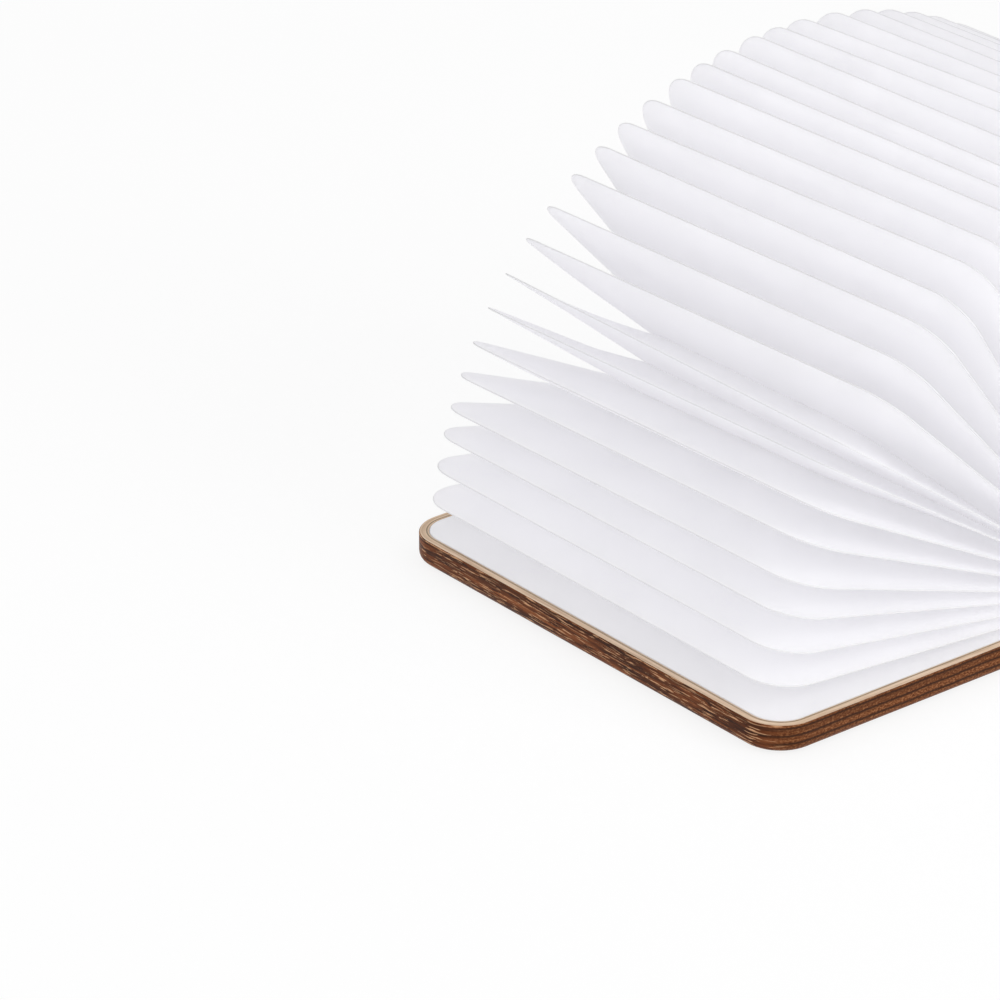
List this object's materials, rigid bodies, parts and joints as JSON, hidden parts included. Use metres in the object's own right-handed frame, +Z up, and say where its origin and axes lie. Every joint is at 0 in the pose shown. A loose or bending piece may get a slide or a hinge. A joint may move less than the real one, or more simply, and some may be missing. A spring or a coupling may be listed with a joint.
{
  "type": "folding book lamp",
  "caption": "Rechargeable folding lamp in the form of a small book: wooden covers and a fan of pleated white paper leaves round a light bar.",
  "frame": {"origin": "middle of the spine on the surface that the open covers lie on", "axes": "+X from the left cover to the right cover, +Y along the spine to the far end, +Z up"},
  "size_m": [0.2032, 0.12, 0.1],
  "materials": {
    "cover_wood": "oiled walnut-brown wood grain, pale bare rim on the inner face",
    "page_paper": "white spun-bonded paper, matt, slightly translucent",
    "spine_cloth": "white tear-proof cloth",
    "magnet_nickel": "nickel-plated",
    "bar_plastic": "white moulded plastic",
    "bar_diffuser": "milky translucent plastic",
    "board_white": "white coated circuit board",
    "led_phosphor": "yellow phosphor in a white frame",
    "cell_wrap": "pouch foil",
    "foam": "adhesive foam",
    "board_green": "green circuit board",
    "chip_black": "moulded epoxy",
    "socket_steel": "plated sheet steel",
    "lead_sleeve": "insulated wire"
  },
  "bodies": {
    "spine": {"spine_cloth": "spine_cloth", "bar_tray": "bar_plastic", "bar_diffuser": "bar_diffuser", "led_board": "board_white", "led_chips": "led_phosphor", "battery": "cell_wrap", "battery_pad": "foam", "control_board": "board_green", "board_parts": "chip_black", "hall_switch": "chip_black", "usb_shell": "socket_steel", "usb_tongue": "chip_black", "leads": "lead_sleeve", "leaf_19": "page_paper"},
    "left_cover": {"left_cover": "cover_wood", "left_end_sheet": "page_paper", "left_hinge_tape": "spine_cloth", "left_magnets": "magnet_nickel"},
    "right_cover": {"right_cover": "cover_wood", "right_end_sheet": "page_paper", "right_hinge_tape": "spine_cloth", "right_magnets": "magnet_nickel", "sensor_magnet": "magnet_nickel"},
    "leaf_01": {"leaf_01": "page_paper"},
    "leaf_02": {"leaf_02": "page_paper"},
    "leaf_03": {"leaf_03": "page_paper"},
    "leaf_04": {"leaf_04": "page_paper"},
    "leaf_05": {"leaf_05": "page_paper"},
    "leaf_06": {"leaf_06": "page_paper"},
    "leaf_07": {"leaf_07": "page_paper"},
    "leaf_08": {"leaf_08": "page_paper"},
    "leaf_09": {"leaf_09": "page_paper"},
    "leaf_10": {"leaf_10": "page_paper"},
    "leaf_11": {"leaf_11": "page_paper"},
    "leaf_12": {"leaf_12": "page_paper"},
    "leaf_13": {"leaf_13": "page_paper"},
    "leaf_14": {"leaf_14": "page_paper"},
    "leaf_15": {"leaf_15": "page_paper"},
    "leaf_16": {"leaf_16": "page_paper"},
    "leaf_17": {"leaf_17": "page_paper"},
    "leaf_18": {"leaf_18": "page_paper"},
    "leaf_20": {"leaf_20": "page_paper"},
    "leaf_21": {"leaf_21": "page_paper"},
    "leaf_22": {"leaf_22": "page_paper"},
    "leaf_23": {"leaf_23": "page_paper"},
    "leaf_24": {"leaf_24": "page_paper"},
    "leaf_25": {"leaf_25": "page_paper"},
    "leaf_26": {"leaf_26": "page_paper"},
    "leaf_27": {"leaf_27": "page_paper"},
    "leaf_28": {"leaf_28": "page_paper"},
    "leaf_29": {"leaf_29": "page_paper"},
    "leaf_30": {"leaf_30": "page_paper"},
    "leaf_31": {"leaf_31": "page_paper"},
    "leaf_32": {"leaf_32": "page_paper"},
    "leaf_33": {"leaf_33": "page_paper"},
    "leaf_34": {"leaf_34": "page_paper"},
    "leaf_35": {"leaf_35": "page_paper"},
    "leaf_36": {"leaf_36": "page_paper"},
    "leaf_37": {"leaf_37": "page_paper"}
  },
  "joints": [
    {"name": "left_cover_hinge", "type": "hinge", "parent": "spine", "child": "left_cover", "pos_m": [-0.0064, 0, 0.0063], "axis": [0, 1, 0], "range_deg": [-90, 90], "deforming": ["leaf_19", "left_end_sheet"]},
    {"name": "right_cover_hinge", "type": "hinge", "parent": "spine", "child": "right_cover", "pos_m": [0.0064, 0, 0.0063], "axis": [0, -1, 0], "range_deg": [-90, 90], "deforming": ["right_end_sheet"]},
    {"name": "leaf_01_turn", "type": "hinge", "parent": "spine", "child": "leaf_01", "pos_m": [-0.00606, 0, 0.0063], "axis": [0, 1, 0], "range_deg": [-86.41, 86.41], "deforming": ["leaf_01"]},
    {"name": "leaf_02_turn", "type": "hinge", "parent": "spine", "child": "leaf_02", "pos_m": [-0.00573, 0, 0.0063], "axis": [0, 1, 0], "range_deg": [-81.61, 81.61], "deforming": ["leaf_02"]},
    {"name": "leaf_03_turn", "type": "hinge", "parent": "spine", "child": "leaf_03", "pos_m": [-0.00539, 0, 0.0063], "axis": [0, 1, 0], "range_deg": [-76.81, 76.81], "deforming": ["leaf_03"]},
    {"name": "leaf_04_turn", "type": "hinge", "parent": "spine", "child": "leaf_04", "pos_m": [-0.00505, 0, 0.0063], "axis": [0, 1, 0], "range_deg": [-72.01, 72.01], "deforming": ["leaf_04"]},
    {"name": "leaf_05_turn", "type": "hinge", "parent": "spine", "child": "leaf_05", "pos_m": [-0.00472, 0, 0.0063], "axis": [0, 1, 0], "range_deg": [-67.21, 67.21], "deforming": ["leaf_05"]},
    {"name": "leaf_06_turn", "type": "hinge", "parent": "spine", "child": "leaf_06", "pos_m": [-0.00438, 0, 0.0063], "axis": [0, 1, 0], "range_deg": [-62.41, 62.41], "deforming": ["leaf_06"]},
    {"name": "leaf_07_turn", "type": "hinge", "parent": "spine", "child": "leaf_07", "pos_m": [-0.00404, 0, 0.0063], "axis": [0, 1, 0], "range_deg": [-57.61, 57.61], "deforming": ["leaf_07"]},
    {"name": "leaf_08_turn", "type": "hinge", "parent": "spine", "child": "leaf_08", "pos_m": [-0.00371, 0, 0.0063], "axis": [0, 1, 0], "range_deg": [-52.81, 52.81], "deforming": ["leaf_08"]},
    {"name": "leaf_09_turn", "type": "hinge", "parent": "spine", "child": "leaf_09", "pos_m": [-0.00337, 0, 0.0063], "axis": [0, 1, 0], "range_deg": [-48.01, 48.01], "deforming": ["leaf_09"]},
    {"name": "leaf_10_turn", "type": "hinge", "parent": "spine", "child": "leaf_10", "pos_m": [-0.00303, 0, 0.0063], "axis": [0, 1, 0], "range_deg": [-43.21, 43.21], "deforming": ["leaf_10"]},
    {"name": "leaf_11_turn", "type": "hinge", "parent": "spine", "child": "leaf_11", "pos_m": [-0.00269, 0, 0.0063], "axis": [0, 1, 0], "range_deg": [-38.41, 38.41], "deforming": ["leaf_11"]},
    {"name": "leaf_12_turn", "type": "hinge", "parent": "spine", "child": "leaf_12", "pos_m": [-0.00236, 0, 0.0063], "axis": [0, 1, 0], "range_deg": [-33.61, 33.61], "deforming": ["leaf_12"]},
    {"name": "leaf_13_turn", "type": "hinge", "parent": "spine", "child": "leaf_13", "pos_m": [-0.00202, 0, 0.0063], "axis": [0, 1, 0], "range_deg": [-28.81, 28.81], "deforming": ["leaf_13"]},
    {"name": "leaf_14_turn", "type": "hinge", "parent": "spine", "child": "leaf_14", "pos_m": [-0.00168, 0, 0.0063], "axis": [0, 1, 0], "range_deg": [-24.01, 24.01], "deforming": ["leaf_14"]},
    {"name": "leaf_15_turn", "type": "hinge", "parent": "spine", "child": "leaf_15", "pos_m": [-0.00135, 0, 0.0063], "axis": [0, 1, 0], "range_deg": [-19.21, 19.21], "deforming": ["leaf_15"]},
    {"name": "leaf_16_turn", "type": "hinge", "parent": "spine", "child": "leaf_16", "pos_m": [-0.00101, 0, 0.0063], "axis": [0, 1, 0], "range_deg": [-14.41, 14.41], "deforming": ["leaf_16"]},
    {"name": "leaf_17_turn", "type": "hinge", "parent": "spine", "child": "leaf_17", "pos_m": [-0.00067, 0, 0.0063], "axis": [0, 1, 0], "range_deg": [-9.61, 9.61], "deforming": ["leaf_17"]},
    {"name": "leaf_18_turn", "type": "hinge", "parent": "spine", "child": "leaf_18", "pos_m": [-0.00034, 0, 0.0063], "axis": [0, 1, 0], "range_deg": [-4.81, 4.81], "deforming": ["leaf_18"]},
    {"name": "leaf_20_turn", "type": "hinge", "parent": "spine", "child": "leaf_20", "pos_m": [0.00034, 0, 0.0063], "axis": [0, -1, 0], "range_deg": [-4.81, 4.81], "deforming": ["leaf_20"]},
    {"name": "leaf_21_turn", "type": "hinge", "parent": "spine", "child": "leaf_21", "pos_m": [0.00067, 0, 0.0063], "axis": [0, -1, 0], "range_deg": [-9.61, 9.61], "deforming": ["leaf_21"]},
    {"name": "leaf_22_turn", "type": "hinge", "parent": "spine", "child": "leaf_22", "pos_m": [0.00101, 0, 0.0063], "axis": [0, -1, 0], "range_deg": [-14.41, 14.41], "deforming": ["leaf_22"]},
    {"name": "leaf_23_turn", "type": "hinge", "parent": "spine", "child": "leaf_23", "pos_m": [0.00135, 0, 0.0063], "axis": [0, -1, 0], "range_deg": [-19.21, 19.21], "deforming": ["leaf_23"]},
    {"name": "leaf_24_turn", "type": "hinge", "parent": "spine", "child": "leaf_24", "pos_m": [0.00168, 0, 0.0063], "axis": [0, -1, 0], "range_deg": [-24.01, 24.01], "deforming": ["leaf_24"]},
    {"name": "leaf_25_turn", "type": "hinge", "parent": "spine", "child": "leaf_25", "pos_m": [0.00202, 0, 0.0063], "axis": [0, -1, 0], "range_deg": [-28.81, 28.81], "deforming": ["leaf_25"]},
    {"name": "leaf_26_turn", "type": "hinge", "parent": "spine", "child": "leaf_26", "pos_m": [0.00236, 0, 0.0063], "axis": [0, -1, 0], "range_deg": [-33.61, 33.61], "deforming": ["leaf_26"]},
    {"name": "leaf_27_turn", "type": "hinge", "parent": "spine", "child": "leaf_27", "pos_m": [0.00269, 0, 0.0063], "axis": [0, -1, 0], "range_deg": [-38.41, 38.41], "deforming": ["leaf_27"]},
    {"name": "leaf_28_turn", "type": "hinge", "parent": "spine", "child": "leaf_28", "pos_m": [0.00303, 0, 0.0063], "axis": [0, -1, 0], "range_deg": [-43.21, 43.21], "deforming": ["leaf_28"]},
    {"name": "leaf_29_turn", "type": "hinge", "parent": "spine", "child": "leaf_29", "pos_m": [0.00337, 0, 0.0063], "axis": [0, -1, 0], "range_deg": [-48.01, 48.01], "deforming": ["leaf_29"]},
    {"name": "leaf_30_turn", "type": "hinge", "parent": "spine", "child": "leaf_30", "pos_m": [0.00371, 0, 0.0063], "axis": [0, -1, 0], "range_deg": [-52.81, 52.81], "deforming": ["leaf_30"]},
    {"name": "leaf_31_turn", "type": "hinge", "parent": "spine", "child": "leaf_31", "pos_m": [0.00404, 0, 0.0063], "axis": [0, -1, 0], "range_deg": [-57.61, 57.61], "deforming": ["leaf_31"]},
    {"name": "leaf_32_turn", "type": "hinge", "parent": "spine", "child": "leaf_32", "pos_m": [0.00438, 0, 0.0063], "axis": [0, -1, 0], "range_deg": [-62.41, 62.41], "deforming": ["leaf_32"]},
    {"name": "leaf_33_turn", "type": "hinge", "parent": "spine", "child": "leaf_33", "pos_m": [0.00472, 0, 0.0063], "axis": [0, -1, 0], "range_deg": [-67.21, 67.21], "deforming": ["leaf_33"]},
    {"name": "leaf_34_turn", "type": "hinge", "parent": "spine", "child": "leaf_34", "pos_m": [0.00505, 0, 0.0063], "axis": [0, -1, 0], "range_deg": [-72.01, 72.01], "deforming": ["leaf_34"]},
    {"name": "leaf_35_turn", "type": "hinge", "parent": "spine", "child": "leaf_35", "pos_m": [0.00539, 0, 0.0063], "axis": [0, -1, 0], "range_deg": [-76.81, 76.81], "deforming": ["leaf_35"]},
    {"name": "leaf_36_turn", "type": "hinge", "parent": "spine", "child": "leaf_36", "pos_m": [0.00573, 0, 0.0063], "axis": [0, -1, 0], "range_deg": [-81.61, 81.61], "deforming": ["leaf_36"]},
    {"name": "leaf_37_turn", "type": "hinge", "parent": "spine", "child": "leaf_37", "pos_m": [0.00606, 0, 0.0063], "axis": [0, -1, 0], "range_deg": [-86.41, 86.41], "deforming": ["leaf_37"]}
  ],
  "couplings": [
    {"joint": "leaf_01_turn", "follows": "left_cover_hinge", "ratio": 0.96},
    {"joint": "leaf_02_turn", "follows": "left_cover_hinge", "ratio": 0.90667},
    {"joint": "leaf_03_turn", "follows": "left_cover_hinge", "ratio": 0.85333},
    {"joint": "leaf_04_turn", "follows": "left_cover_hinge", "ratio": 0.8},
    {"joint": "leaf_05_turn", "follows": "left_cover_hinge", "ratio": 0.74667},
    {"joint": "leaf_06_turn", "follows": "left_cover_hinge", "ratio": 0.69333},
    {"joint": "leaf_07_turn", "follows": "left_cover_hinge", "ratio": 0.64},
    {"joint": "leaf_08_turn", "follows": "left_cover_hinge", "ratio": 0.58667},
    {"joint": "leaf_09_turn", "follows": "left_cover_hinge", "ratio": 0.53333},
    {"joint": "leaf_10_turn", "follows": "left_cover_hinge", "ratio": 0.48},
    {"joint": "leaf_11_turn", "follows": "left_cover_hinge", "ratio": 0.42667},
    {"joint": "leaf_12_turn", "follows": "left_cover_hinge", "ratio": 0.37333},
    {"joint": "leaf_13_turn", "follows": "left_cover_hinge", "ratio": 0.32},
    {"joint": "leaf_14_turn", "follows": "left_cover_hinge", "ratio": 0.26667},
    {"joint": "leaf_15_turn", "follows": "left_cover_hinge", "ratio": 0.21333},
    {"joint": "leaf_16_turn", "follows": "left_cover_hinge", "ratio": 0.16},
    {"joint": "leaf_17_turn", "follows": "left_cover_hinge", "ratio": 0.10667},
    {"joint": "leaf_18_turn", "follows": "left_cover_hinge", "ratio": 0.053333},
    {"joint": "leaf_20_turn", "follows": "right_cover_hinge", "ratio": 0.053333},
    {"joint": "leaf_21_turn", "follows": "right_cover_hinge", "ratio": 0.10667},
    {"joint": "leaf_22_turn", "follows": "right_cover_hinge", "ratio": 0.16},
    {"joint": "leaf_23_turn", "follows": "right_cover_hinge", "ratio": 0.21333},
    {"joint": "leaf_24_turn", "follows": "right_cover_hinge", "ratio": 0.26667},
    {"joint": "leaf_25_turn", "follows": "right_cover_hinge", "ratio": 0.32},
    {"joint": "leaf_26_turn", "follows": "right_cover_hinge", "ratio": 0.37333},
    {"joint": "leaf_27_turn", "follows": "right_cover_hinge", "ratio": 0.42667},
    {"joint": "leaf_28_turn", "follows": "right_cover_hinge", "ratio": 0.48},
    {"joint": "leaf_29_turn", "follows": "right_cover_hinge", "ratio": 0.53333},
    {"joint": "leaf_30_turn", "follows": "right_cover_hinge", "ratio": 0.58667},
    {"joint": "leaf_31_turn", "follows": "right_cover_hinge", "ratio": 0.64},
    {"joint": "leaf_32_turn", "follows": "right_cover_hinge", "ratio": 0.69333},
    {"joint": "leaf_33_turn", "follows": "right_cover_hinge", "ratio": 0.74667},
    {"joint": "leaf_34_turn", "follows": "right_cover_hinge", "ratio": 0.8},
    {"joint": "leaf_35_turn", "follows": "right_cover_hinge", "ratio": 0.85333},
    {"joint": "leaf_36_turn", "follows": "right_cover_hinge", "ratio": 0.90667},
    {"joint": "leaf_37_turn", "follows": "right_cover_hinge", "ratio": 0.96}
  ]
}
